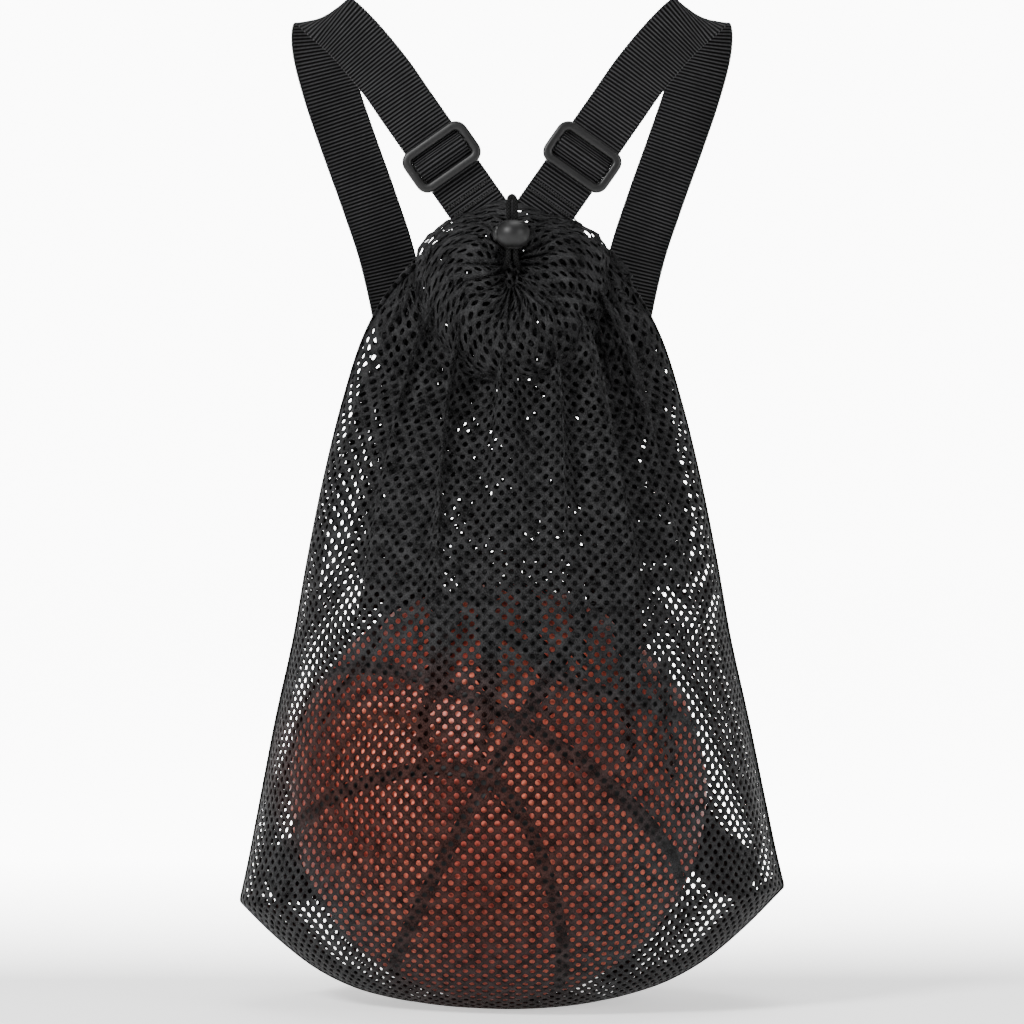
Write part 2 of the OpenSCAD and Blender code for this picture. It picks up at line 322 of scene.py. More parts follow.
def leather_material():
    """Pebbled cover of the ball, with painted shade in the crevices between its pebbles, and black
    in its channels.
    """
    s = Shader("ball_pebble", Specular_IOR_Level=0.4)
    spot = s.node("ShaderNodeTexVoronoi", {"Vector": s.place(), "Scale": 480.0, "Randomness": 0.85},
                  feature="SMOOTH_F1")
    pebble = s.ramp(spot.outputs["Distance"], (0.1, 1.0), (0.75, 0.0))
    tone = s.noise(s.place(), 22, 3)
    scuff = s.noise(s.place(), 160, 4, 0.7)
    ground = s.ramp(tone, (0.38, (0.50, 0.080, 0.052)), (0.62, (0.86, 0.20, 0.12)))
    # Painted shade: the crevices between the pebbles are darker.
    shade = s.mix(s.ramp(pebble, (0.15, 1.0), (0.6, 0.0)), ground, (0.24, 0.022, 0.014))
    cover = s.mix(s.ramp(scuff, (0.55, 0.0), (0.8, 0.35)), shade, (0.90, 0.32, 0.20))
    away = s.node("ShaderNodeAttribute", attribute_name="channel").outputs["Fac"]
    skin = s.ramp(s.math("MULTIPLY", away, 0.1), (0.37, 0.0), (0.41, 1.0))
    s.set("Base Color", s.mix(skin, (0.003, 0.003, 0.0032), cover))
    s.set("Roughness", s.mix(skin, (0.6, 0.6, 0.6), s.ramp(scuff, (0.3, 0.38), (0.7, 0.55))))
    s.set("Normal", s.bump(s.math("MULTIPLY", pebble, skin), 0.5, 0.0009))
    return s.material


def rubber_material(name, colour):
    """Dull rubber with a little dust."""
    s = Shader(name, Specular_IOR_Level=0.35)
    dust = s.noise(s.place(), 220, 5)
    s.set("Base Color", s.ramp(dust, (0.35, tuple(c * 0.6 for c in colour)), (0.7, colour)))
    s.set("Roughness", s.ramp(dust, (0.3, 0.6), (0.7, 0.8)))
    s.set("Normal", s.bump(s.noise(s.place(), 1500, 3), 0.2, 0.0003))
    return s.material


def thread_material():
    """Twisted sewing thread."""
    s = Shader("thread_twist", Roughness=0.6, Specular_IOR_Level=0.2)
    twist = s.node("ShaderNodeTexWave", {"Vector": s.place(), "Scale": 420.0, "Distortion": 0.5},
                   bands_direction="DIAGONAL").outputs["Fac"]
    s.set("Base Color", s.ramp(twist, (0.2, (0.003, 0.003, 0.003)), (0.9, (0.03, 0.03, 0.031))))
    s.set("Normal", s.bump(twist, 0.5, 0.0004))
    return s.material


def steel_material():
    """Drawn spring wire."""
    s = Shader("spring_steel", Metallic=1.0)
    drawn = s.noise(s.scaled(s.place(), 4000, 200, 200), 1.0, 2)
    s.set("Base Color", s.ramp(drawn, (0.3, (0.45, 0.45, 0.46)), (0.7, (0.62, 0.62, 0.63))))
    s.set("Roughness", s.ramp(drawn, (0.3, 0.28), (0.7, 0.4)))
    return s.material


MESH = mesh_material()
BINDING = binding_material()
WEBBING = webbing_material()
CORD = cord_material()
ADJUSTER = plastic_material("adjuster_satin", 0.42, (0.0025, 0.0025, 0.0026))
LOCK = plastic_material("lock_satin", 0.45, (0.0025, 0.0025, 0.0026))
LEATHER = leather_material()
VALVE = rubber_material("channel_rubber", (0.005, 0.005, 0.0056))
BLADDER = rubber_material("bladder_rubber", (0.02, 0.02, 0.022))
THREAD = thread_material()
STEEL = steel_material()


# ---------------------------------------------------------------- cord through the lock

# Half of the cord's route, from the casing up through the lock to the top of its loop
ROUTE = [[-4.4, -31, 423.4], [-3.6, -34, 424.6], [-3, -37.6, 426.6], [-2.3, -40.6, 429],
         [-1.9, -42, 432.4], [-1.9, -42, 438], [-1.9, -42, 446], [-1.9, -42, 454],
         [-1.9, -42, 460], [-1.4, -42, 463.4], [0, -42, 464.6]]
CORD_D = 3


def swept_tube(name, path, radius, sides, material):
    """A round tube along path. Its ring is carried along the path, so the tube doesn't twist."""
    along = tangents(path)
    u = np.cross(along, [0, 1, 0.1])
    for i in range(1, len(u)):
        u[i] = u[i - 1] - along[i] * (u[i - 1] @ along[i])
        u[i] /= np.linalg.norm(u[i])
    u = unit(u)
    v = np.cross(along, u)
    at = lengths_along(path)
    turn = np.linspace(0, 2 * math.pi, sides, endpoint=False)
    ring = u[:, None] * np.cos(turn)[None, :, None] + v[:, None] * np.sin(turn)[None, :, None]
    points = path[:, None] + ring * radius
    uv = np.stack(np.broadcast_arrays(turn[None] * radius, at[:, None]), -1)
    return make_mesh(name, points.reshape(-1, 3), tube_faces(len(path), sides), material,
                     uv.reshape(-1, 2))


def make_cord():
    half = np.array(ROUTE, float)
    route, _ = resample(catmull(np.vstack([half, mirrored(half[-2::-1])]), 10), STEP)
    cord = swept_tube("drawcord", route, CORD_D / 2, 16, CORD)
    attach(cord, "bag")
    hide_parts("drawcord_loop")


make_cord()


# ---------------------------------------------------------------- bag

# Sections of the bag: height, half width, half depth, shift to the back, slope to the back
LOW = [[0.5, 6, 0.5, 0, 0], [0.5, 30, 25, 0, 0], [1.0, 48, 44, 0, 0], [5, 69, 57, 0, 0],
       [12, 91, 70, 0, 0], [24, 113, 85, 0, 0], [42, 135, 99, 0, 0], [63, 156, 110, 0, 0]]
HIGH = [[63, 156, 110, 0, 0], [85, 151, 119, 0, 0], [120, 144, 124, 0, 0], [165, 135, 119, 0, 0],
        [210, 125, 104, 0, 0], [255, 117, 88, 0, 0], [300, 108, 73, 0, 0.02],
        [345, 97, 58, -1, 0.08], [385, 84, 46, -3, 0.25], [415, 66, 37, -7, 0.6],
        [434, 42, 27, -10, 0.9], [441, 27, 17, -12, 1.0], [440, 17, 10, -14, 1.0]]
LENS = 1.75                     # power of each section's curve: 2 is an ellipse
HOLE_D = 3.4
CELL = HOLE_PITCH / math.sqrt(2)
CLOTH_T = 0.45
BALL_CLEARANCE = 1.3
FLOOR_GAP = 0.35
BAG_TILT = 0.042                # the bag's right lower corner lies higher than its left one
MOUTH_TOP = 457                 # above this height the cloth rolls over and rises less

# The cloth that the gathers tuck in: lowest height in front and behind, and its share of the depth
TUCK_FROM = {-1: 128, 1: 246}
TUCK_DEPTH = 0.64

# Gathers of each layer of cloth (2 is a tucked one): random seed, broad gathers, and their depth
GATHERS = {-1: (11, 8, 1.0), 1: (23, 9.5, 1.25), -2: (31, 6, 1.2), 2: (37, 7, 1.2)}


def lens_row(section, side, count):
    """One row of the bare bag, from left seam to right seam, at equal steps."""
    z, a, b, shift, slope = section
    turn = np.linspace(0, math.pi, 500)
    x = -a * np.sign(np.cos(turn)) * np.abs(np.cos(turn)) ** (2 / LENS)
    y = side * b * np.sin(turn) ** (2 / LENS)
    row = np.column_stack([x, shift + y, z + slope * y])
    along = lengths_along(row)
    at = np.linspace(0, along[-1], count)
    return np.column_stack([np.interp(at, along, column) for column in row.T])


def smooth_noise(q, r, seed, across, up):
    """Soft noise from -1 to 1 over the cloth, with about that many waves each way."""
    state = np.random.default_rng(seed)
    total = np.zeros(np.broadcast(q, r).shape)
    for _ in range(6):
        kq, kr = across * state.uniform(0.6, 1.4), up * state.uniform(-1.2, 1.2)
        total = total + np.sin(2 * math.pi * (kq * q + kr * r) + state.uniform(0, 6.3))
    return total / 3.2


def pleats(q, r, z, side):
    """Gathers that fan down from the mouth: how far the cloth stands off the bare bag, and how far
    each fold leans over along it, in millimetres."""
    seed, count, deep = GATHERS[side]
    seam = np.clip(np.minimum(q, 1 - q) / 0.03, 0, 1)
    gather = np.clip((z - 190) / 170, 0, 1) ** 1.2
    neck = np.clip((z - 395) / 35, 0, 1)
    edge = np.clip((np.minimum(q, 1 - q) - 0.05) / 0.15, 0, 1)
    edge = (edge + (1 - edge) * neck) * seam if abs(side) == 1 else 1
    drift = q + 0.022 * smooth_noise(q, r, seed, 2.2, 1.3)
    strength = np.clip(0.8 + 0.45 * smooth_noise(q, r * 0.4, seed + 1, 4, 1), 0.15, 1.35)
    phase = math.pi * count * drift + 0.6
    broad = 1 - 2 * np.abs(np.sin(phase)) ** 0.8
    narrow = 1 - 2 * np.abs(np.sin(math.pi * 17 * drift + 1.1)) ** 0.9
    amount = gather * edge * strength * deep
    off = amount * ((9.5 - 6.5 * neck) * broad + (3.6 - 0.6 * neck) * narrow)
    slack = np.clip((z - 20) / 60, 0, 1) * smooth_noise(q, r, seed + 2, 3.2, 2.2) * 1.5 * seam
    lean = -amount * (6.5 - 5 * neck) * np.sin(2 * phase)
    return off + slack * (1 - 0.6 * neck), lean


def cloth_surface(side, inner=False):
    """The front (side -1) or back (side 1) cloth as a fine grid of points, and each row's height up
    it. inner gives the cloth that the gathers tuck in behind it."""
    columns = 1100
    low = catmull(LOW, 10)
    high = catmull(HIGH, 16)
    sections = np.vstack([low[:-1], high])
    if inner:
        sections = sections[sections[:, 0] > TUCK_FROM[side]]
        deep = 0.97 - 0.52 * np.clip((sections[:, 0] - 235) / 60, 0, 1)
        sections = sections * np.column_stack([np.tile([1, TUCK_DEPTH], (len(deep), 1)), deep,
                                               np.ones((len(deep), 2))])
    rows = np.stack([lens_row(s, side, columns) for s in sections])
    up = lengths_along(np.stack([lens_row(s, -1, 3)[1] for s in sections]))
    even = np.linspace(0, up[-1], 280)
    index = np.interp(even, up, np.arange(len(up)))
    whole = np.minimum(index.astype(int), len(up) - 2)
    part = (index - whole)[:, None, None]
    rows = rows[whole] * (1 - part) + rows[whole + 1] * part
    across = unit(np.gradient(rows, axis=1))
    normal = unit(np.cross(across, np.gradient(rows, axis=0))) * -side
    q = np.linspace(0, 1, columns)[None]
    r = np.linspace(0, 1, len(rows))[:, None]
    off, lean = pleats(q, r, rows[..., 2], side * (2 if inner else 1))
    rows = rows + normal * off[..., None] + across * lean[..., None]
    if inner:
        rows[..., 0] *= np.where(rows[..., 0] > 0, 1.3, 1.2)
    away = rows - BALL_CENTRE
    distance = np.linalg.norm(away, axis=-1, keepdims=True)
    limit = BALL_R + BALL_CLEARANCE * (0.4 if inner else 1)
    rows = np.where(distance < limit, BALL_CENTRE + away / distance * limit, rows)
    low, wide = 1 - rows[..., 2] / 170, np.abs(rows[..., 0]) / 150
    tilt = BAG_TILT * np.clip(low, 0, 1) * np.clip(wide, 0, 1)
    rows[..., 2] = np.maximum(rows[..., 2] + tilt * rows[..., 0], FLOOR_GAP)
    rows[..., 2] -= 0.6 * np.maximum(rows[..., 2] - MOUTH_TOP, 0)
    return rows, even


def by_length(rows, start):
    """The same rows at equal steps of true length, from -start at the left edge."""
    along = [lengths_along(r) - b for r, b in zip(rows, start)]
    end = np.array([a[-1] for a in along])
    at = np.arange(-math.ceil(start.max() / STEP), math.ceil(end.max() / STEP) + 1) * STEP
    out = np.empty((len(rows), len(at), 3))
    for i, row in enumerate(rows):
        out[i] = np.column_stack([np.interp(at, along[i], column) for column in row.T])
    return out, at, end


def half_lengths(rows):
    """Half of each row's true length."""
    return np.array([lengths_along(r)[-1] / 2 for r in rows])


def perforated(name, rows, even, start, material, keep=None):
    """A knitted sheet over the rows, with a round hole in each cell of a diagonal lattice. start is
    how far the lattice's middle column is from the left edge, for each row. keep says of each cell
    whether it is left out (0), has its hole (1) or has its hole closed (2)."""
    table, at, end = by_length(rows, start)
    h = CELL

    def on_cloth(s, t):
        i = np.clip(np.interp(t, even, np.arange(len(even))), 0, len(even) - 1.001)
        s = np.clip(s, -np.interp(t, even, start), np.interp(t, even, end))
        j = np.clip((s - at[0]) / (at[1] - at[0]), 0, len(at) - 1.001)
        a, b = i.astype(int), j.astype(int)
        u, v = (i - a)[..., None], (j - b)[..., None]
        return ((table[a, b] * (1 - u) + table[a + 1, b] * u) * (1 - v)
                + (table[a, b + 1] * (1 - u) + table[a + 1, b + 1] * u) * v)

    verts, corner_at, faces = [], {}, []
    first_s, last_s = -int(start.max() / h) - 1, int(end.max() / h) + 1
    count_t = int(even[-1] / h)
    angle = np.radians(22.5 + 45 * np.arange(8))
    ring = np.column_stack([np.cos(angle), np.sin(angle)]) * HOLE_D / 2

    def corner(i, j):
        if (i, j) not in corner_at:
            corner_at[i, j] = len(verts)
            verts.append((i * h, j * h))
        return corner_at[i, j]

    for j in range(count_t + 1):
        low, high = -np.interp(j * h, even, start), np.interp(j * h, even, end)
        for i in range(first_s, last_s + 1):
            inside = min(i * h - low, high - i * h)
            kept = keep(i * h, j * h) if keep else 1
            if (i + j) % 2 or inside < -0.3 * h or not kept:
                continue
            c = [corner(i + 1, j), corner(i, j + 1), corner(i - 1, j), corner(i, j - 1)]
            if inside < 0.8 * h or j == 0 or j == count_t or kept == 2:
                faces.append(c)
                continue
            first = len(verts)
            jitter = rng.normal(0, 0.10, 2)
            verts.extend((i * h + jitter[0] + x, j * h + jitter[1] + y) for x, y in ring)
            for k in range(4):
                a, b = first + (2 * k) % 8, first + (2 * k + 1) % 8
                before = first + (2 * k - 1) % 8
                faces.append((c[k], c[(k + 1) % 4], b, a))
                faces.append((c[k], a, before))
    flat = np.array(verts)
    points = on_cloth(flat[:, 0], np.clip(flat[:, 1], 0, even[-1]))
    obj = make_mesh(name, points, faces, material, flat)
    modifier = obj.modifiers.new("solidify", "SOLIDIFY")
    modifier.thickness = CLOTH_T * MM
    modifier.offset = 0
    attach(obj, "bag")
    return obj


# Tucked cloth that reaches down over the ball: middle at FOLD_TOP, lean, half width, lowest height.
# Each of FOLDS is a narrow dark band, and VEIL a single layer beside the ball.
FOLD_TOP = 243
FOLDS = ((-84, -0.55, 7, 150), (-47, 0.0, 11, 130), (-20, 0.10, 8, 130), (2, 0.3, 7, 165),
         (34, 0.1, 6, 165), (63, 0.18, 11.5, 138))
VEIL = (93, 0.2, 15, 120)


def in_fold(s, z):
    """What perforated keeps of the tucked cloth at a place across it and a height: all above
    FOLD_TOP, and below it only the folds and the veil, each narrowing to its lowest height."""
    down = FOLD_TOP - z
    if down < 0:
        return 1
    inside = [abs(s - middle - lean * down) < width * (z - end) / (FOLD_TOP - end)
              for middle, lean, width, end in FOLDS + (VEIL,)]
    return 2 if any(inside[:-1]) else int(inside[-1])


def declare(width, length):
    """Convert a panel's flat size from millimetres to metres; the result is not kept or used."""
    width, length = width * MM, length * MM


# Share of the front tuck's grid that is kept, and how much longer the back panel is than the front
FRONT_TUCK_KEPT = 0.72
BACK_STRETCH = 1.009


def make_panels():
    """The two panels, and the cloth that their gathers tuck in between them."""
    made, start = [], None
    for word, side, inner in (("front", -1, False), ("back", 1, False),
                              ("front", -1, True), ("back", 1, True)):
        name = f"{word}_tuck" if inner else f"{word}_mesh"
        rows, even = cloth_surface(side, inner)
        if inner or start is None:
            start = half_lengths(rows)
        elif side > 0:
            start, even = start + CELL, even * BACK_STRETCH
        width = 2 * half_lengths(rows)
        cut = float(np.trapz(width, even))
        height = rows[:, rows.shape[1] // 2, 2]
        keep = (lambda s, t, e=even, z=height: in_fold(s, np.interp(t, e, z))) if inner else None
        panel = perforated(name, rows, even, start, MESH, keep)
        if inner and side < 0:
            cut *= FRONT_TUCK_KEPT
        declare(width.max(), even[-1])
        if not inner:
            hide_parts(f"{word}_mesh_panel")
            made.append((panel, rows))
    return made


panels = make_panels()


def tape(name, path, out, wide, thick, material):
    """A soft flat tape on edge: wide along out, thick across it, with a stitched ripple."""
    at = lengths_along(path)
    side = unit(np.cross(tangents(path), out))
    turn = np.linspace(0, 2 * math.pi, 14, endpoint=False)
    ripple = 1 + 0.10 * np.sin(2 * math.pi * at / 3.2)
    wide = np.broadcast_to(wide, at.shape)
    points = (path[:, None] + out[:, None] * (np.cos(turn)[None, :] * wide[:, None] / 2)[..., None]
              + side[:, None] * (np.sign(np.sin(turn)) * np.abs(np.sin(turn)) ** 0.6
                                 * (thick / 2 * ripple)[:, None])[..., None])
    uv = np.stack(np.broadcast_arrays(np.cos(turn)[None] * wide[:, None] / 2, at[:, None]), -1)
    faces = tube_faces(*points.shape[:2])
    return make_mesh(name, points.reshape(-1, 3), faces, material, uv.reshape(-1, 2))


def make_seams():
    """Rolled tape over the panels' joined edges, and the seam allowance folded in under the bag."""
    front, back = (rows for _, rows in panels)
    below = []
    for word, column in (("left", 0), ("right", -1)):
        edge = (front[:, column] + back[:, column]) / 2
        corner = int(np.argmax(np.abs(edge[:, 0])))
        side_path, _ = resample(edge[corner:], STEP)
        out = unit(np.cross(tangents(side_path), [0, 1, 0]))
        out = out * np.sign(out[:, :1] * side_path[:, :1] + 1e-9)
        seam = tape(f"side_tape_{word}", side_path, out, 2.6, 3.6, BINDING)
        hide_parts(f"side_seam_{word}")
        low_path, _ = resample(edge[:corner + 1], STEP)
        low_path[:, 2] = np.maximum(low_path[:, 2], 1.6)
        out = unit(np.cross(tangents(low_path), [0, 1, 0]))
        out = out * -np.sign(out[:, 2:] + 1e-9)
        roll = tape(f"bottom_tape_{word}", low_path, out, 2.6, 3.4, BINDING)
        wide = 9 * np.clip((low_path[:, 2] - 1.5) / 9, 0.15, 1)
        inside = low_path - out * (wide / 2)[:, None]
        fold = tape(f"bottom_fold_{word}", inside, out, wide, 1.0, BINDING)
        below += [roll, fold]
        for piece in (seam, roll, fold):
            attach(piece, "bag")
    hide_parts("bottom_binding")


make_seams()


# The gathered cloth round the mouth: the mouth's height, its reach to the sides, up and down, the
# pleats round it, and its profile seen from the side
MOUTH_Z, REACH_X, REACH_UP, REACH_DOWN = 424, 55, 39, 66
PLEATS = 23
PROFILE_Z = [350, 365, 380, 393, 405, 415, 424, 434, 443, 449, 456, 463]
PROFILE_Y = [-55, -54, -53, -51, -48, -44, -40, -36, -31, -27, -19, -8]


def closed_at_top(s, t):
    """Keep for perforated: the doubled cloth along the hem's upper rim shows no holes."""
    return 2 if t < 16 and abs(s) > 158 else 1


def make_hem():
    """The casing and the cloth under it, bunched round the mouth, which faces forward."""
    columns, rings = 1500, 110
    q = np.linspace(0, 1, columns)[None]
    r = np.linspace(0, 1, rings)[:, None]
    out = 1 - r
    drift = q + 0.008 * smooth_noise(q, r, 41, 4, 0.7)
    strength = np.clip(0.8 + 0.5 * smooth_noise(q, r * 0.5, 42, 5, 0.8), 0.2, 1.5)
    fold = 1 - 2 * np.abs(np.sin(math.pi * PLEATS * drift)) ** 0.85
    small = 1 - 2 * np.abs(np.sin(math.pi * 47 * drift + 1)) ** 0.9
    twist = 0.05 * np.sin(2 * math.pi * PLEATS * drift) * strength
    phi = math.pi / 2 - math.radians(2) + 2 * math.pi * 1.011 * q + twist * np.clip(out * 6, 0, 1)
    c, s = np.cos(phi), np.sin(phi)
    reach = np.where(s > 0, REACH_UP, REACH_DOWN)
    x = c * 2.2 * (1 - out) + np.sign(c) * np.abs(c) ** 0.86 * REACH_X * out
    z = MOUTH_Z + s * 10 * (1 - out) + np.sign(s) * np.abs(s) ** 0.86 * reach * out
    y = np.interp(z, PROFILE_Z, PROFILE_Y) + 20 * (np.abs(x) / 56) ** 2.2
    y = y + 17 * np.exp(-(out / 0.11) ** 1.5)
    edge = np.where(s > 0, 0.84, 0.84 - 0.3 * np.abs(s))
    rim = np.clip((out - edge) / (1 - edge), 0, 1) ** 1.4
    y = y + rim * np.where(s > 0, 12 + 6 * np.abs(s), 12)
    z = z - rim * np.where(s > 0, 7 * np.abs(s), 0)
    z = z + 4 * np.clip(s, 0, 1) * np.clip(out, 0, 1) * np.exp(-(x / 13) ** 4)
    points = np.stack([x, y, z], -1)
    across = unit(np.gradient(points, axis=1))
    normal = unit(np.cross(across, np.gradient(points, axis=0)))
    normal = normal * -np.sign(normal[..., 1:2] + 1e-9)
    deep = (1.3 + 2.6 * np.exp(-(out / 0.45) ** 2)) * strength * np.clip(out / 0.06, 0.3, 1)
    slack = 1.5 * smooth_noise(q, r, 43, 3, 1.2) * np.clip(out * 3, 0, 1)
    points = points + normal * (deep * (0.85 * fold + 0.3 * small) + slack)[..., None]
    even = lengths_along(points[:, columns // 4] * 0.5 + points[:, columns // 2] * 0.5)
    hem = perforated("gathered_hem", points, even, half_lengths(points), MESH, closed_at_top)
    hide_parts("drawstring_casing", "hem_drawcord")
    width = 2 * half_lengths(points)
    declare(width.max(), even[-1])


make_hem()


# ---------------------------------------------------------------- webbing straps

# The left strap's neck end, its directions up and across there, then rows of its centre and of
# the direction across it
STRAP_W, STRAP_T = 33, 1.5
NECK = np.array([-20, -12, 458.0])
RISE = unit(np.array([-54, 14, 77.0]))
ACROSS = np.array([82, 0, 57.0])
STRAP_ROWS = [[*(NECK + RISE * s), *ACROSS] for s in (-9, 24, 48, 72, 94)] + [
    [-90, 9, 554, 83, -8, 55], [-103, 16, 566, 84, -16, 46], [-110, 28, 566, 88, -12, 40],
    [-111, 39, 550, 92, -6, 36], [-105, 47, 525, 94, 0, 33], [-95, 53, 495, 94, 0, 33],
    [-83, 60, 461, 94, 0, 33], [-72, 69, 426, 95, 0, 30], [-63, 81, 380, 97, 0, 20],
    [-58, 92, 325, 99, 0, 8], [-58, 104, 265, 99, 0, 0], [-62, 114, 210, 97, 20, -4],
    [-72, 117, 165, 90, 45, -30], [-88, 110, 122, 70, 50, -66], [-107, 93, 92, 44, 30, -86],
    [-125, 70, 74, 26, 12, -90], [-140, 46, 66, 20, 6, -92]]


def webbing(name, rows, width, thickness, side, material):
    """Ribbed webbing along rows of a centre point and a direction across, mirrored for side 1."""
    rows, at = resample(catmull(rows, 12), RIB / 5)
    centre = rows[:, :3]
    along = tangents(centre)
    raw = rows[:, 3:]
    across = unit(raw - (raw * along).sum(1, keepdims=True) * along)
    normal = np.cross(along, across)
    rib = np.abs(np.sin(math.pi * at / RIB)) ** 0.8
    edge = width / 2
    outline = [(-1, 0), (-0.985, 0.75), (-0.93, 0.95), (-0.9, 0.8), (-0.5, 1), (0, 1), (0.5, 1),
               (0.9, 0.8), (0.93, 0.95), (0.985, 0.75), (1, 0), (0.985, -0.75), (0.93, -0.95),
               (0.9, -0.8), (0.5, -1), (0, -1), (-0.5, -1), (-0.9, -0.8), (-0.93, -0.95),
               (-0.985, -0.75)]
    points, uv = [], []
    for x, z in outline:
        lift = (thickness / 2 - 0.6 * (1 - rib)) * z
        points.append(centre + across * (x * (edge - 0.25 * (1 - rib)))[:, None]
                      + normal * lift[:, None])
        uv.append(np.column_stack([np.full(len(at), x * edge + z), at]))
    points, uv = np.stack(points, 1), np.stack(uv, 1)
    if side > 0:
        points = mirrored(points)
    faces = tube_faces(*points.shape[:2])
    if side > 0:
        faces = [f[::-1] for f in faces]
    return make_mesh(name, points.reshape(-1, 3), faces, material, uv.reshape(-1, 2))


SIDES = (("left", -1), ("right", 1))


def make_straps():
    for word, side in SIDES:
        strap = webbing(f"webbing_{word}", STRAP_ROWS, STRAP_W, STRAP_T, side, WEBBING)
        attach(strap, f"strap_{word}")
        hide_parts(f"shoulder_strap_{word}")


make_straps()


# ---------------------------------------------------------------- adjusters and bar tacks

# How far up the webbing the adjuster sits, its outer size and its bar's thickness, then how high
# over the webbing's middle the folded layer and the bar lie
SLIDER_AT, SLIDER_W, SLIDER_LEN, BAR = 35, 43, 27, 4.0
FOLD_LIFT = STRAP_T / 2 + 0.3
BAR_Z = FOLD_LIFT + STRAP_T + 0.2 + BAR / 2


def strap_axes():
    """Unit vectors across the webbing at the neck, up along it and out of its front."""
    x = unit(ACROSS - (ACROSS @ RISE) * RISE)
    return np.stack([x, RISE, np.cross(x, RISE)])


def on_strap(points, along, side):
    """From the webbing's own axes to the bag: across it, up along it and out of its front."""
    placed = np.asarray(points, float) @ strap_axes() + NECK + RISE * along
    return mirrored(placed) if side > 0 else placed


def swept_ring(path, wide, thick, sides):
    """Points and faces of a bar along a flat closed path, with a rounded-square section."""
    ahead = unit(np.roll(path, -1, 0) - np.roll(path, 1, 0))
    out = np.cross(ahead, [0, 0, 1])
    turn = np.linspace(0, 2 * math.pi, sides, endpoint=False)
    c, s = np.cos(turn), np.sin(turn)
    c, s = np.sign(c) * np.abs(c) ** 0.7, np.sign(s) * np.abs(s) ** 0.7
    wide = np.broadcast_to(wide, len(path))
    points = (path[:, None] + out[:, None] * (c[None] * wide[:, None] / 2)[..., None]
              + np.array([0, 0, 1]) * (s * thick / 2)[None, :, None])
    return points.reshape(-1, 3), grid_faces(len(path), sides, True, True)


def rounded_path(half_w, half_h, corner, bulge):
    """Centre line of the adjuster's frame: a rounded rectangle whose ends bulge outwards."""
    points = []
    for sx, sy, start in ((1, 1, 0), (-1, 1, 90), (-1, -1, 180), (1, -1, 270)):
        for a in np.radians(np.linspace(start, start + 90, 9)):
            points.append([sx * (half_w - corner) + corner * math.cos(a),
                           sy * (half_h - corner) + corner * math.sin(a), 0])
    path = resample(np.array(points + points[:1]), STEP)[0][:-1]
    path[:, 0] *= 1 + bulge * (1 - (path[:, 1] / half_h) ** 2)
    return path


def make_adjusters():
    path = rounded_path(SLIDER_W / 2 - 2.75, SLIDER_LEN / 2 - 2.5, 4.6, 0.01)
    on_end = np.clip((np.abs(path[:, 1]) - 6) / 4, 0, 1)
    frame_points, frame_faces = swept_ring(path, 5.3 + 0.2 * on_end, BAR + 0.8, 20)
    reach = SLIDER_W / 2 - BAR
    bar_path = np.column_stack([np.linspace(-reach, reach, 40), np.zeros(40), np.zeros(40)])
    turn = np.linspace(0, 2 * math.pi, 18, endpoint=False)
    flare = 1.7 + 0.7 * np.clip((np.abs(bar_path[:, 0]) - reach + 2.5) / 2.5, 0, 1) ** 2
    ring = np.stack([np.zeros(18), np.cos(turn), np.sin(turn)], -1)
    bar_points = bar_path[:, None] + ring[None] * flare[:, None, None]
    bar_faces = grid_faces(40, 18, closed_cols=True) + len(frame_points)
    points = np.vstack([frame_points, bar_points.reshape(-1, 3)]) + [0, 0, BAR_Z]
    faces = np.vstack([frame_faces, bar_faces])
    half = SLIDER_LEN / 2
    low = FOLD_LIFT + STRAP_T / 2
    high = BAR_Z + BAR / 2 + STRAP_T / 2 - 0.1
    rise = [(half + 1.5, low), (half - 1, low), (half - BAR, low), (7.8, low + 0.6),
            (4.6, high - 2.4), (2.4, high - 0.3), (0, high)]
    profile = rise + [(-y, z) for y, z in rise[-2::-1]]
    for word, side in SIDES:
        placed = on_strap(points, SLIDER_AT, side)
        obj = make_mesh(f"adjuster_{word}", placed, faces if side < 0 else faces[:, ::-1],
                        ADJUSTER)
        rows = []
        for y, z in profile:
            p = on_strap([[0, y, z]], SLIDER_AT, -1)[0]
            rows.append([*p, *ACROSS])
        fold = webbing(f"adjuster_fold_{word}", rows, STRAP_W - 1.2, STRAP_T, side, WEBBING)
        for piece, node, slot in ((obj, "strap_adjuster", "adjuster"),
                                  (fold, "adjuster_webbing", "webbing")):
            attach(piece, f"adjuster_{word}")
            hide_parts(f"{node}_{word}")


make_adjusters()


THREAD_R = 0.3


def zigzag(centre, across, along, normal, width, depth, lift):
    """One bar tack: a tight zigzag of thread over the webbing."""
    count = 34
    x = np.linspace(-width / 2, width / 2, count)
    y = np.where(np.arange(count) % 2, depth, -depth) / 2
    bend = np.column_stack([x, y, np.full(count, lift)])
    path = catmull(bend, 3)
    return centre + path[:, :1] * across + path[:, 1:2] * along + path[:, 2:] * normal


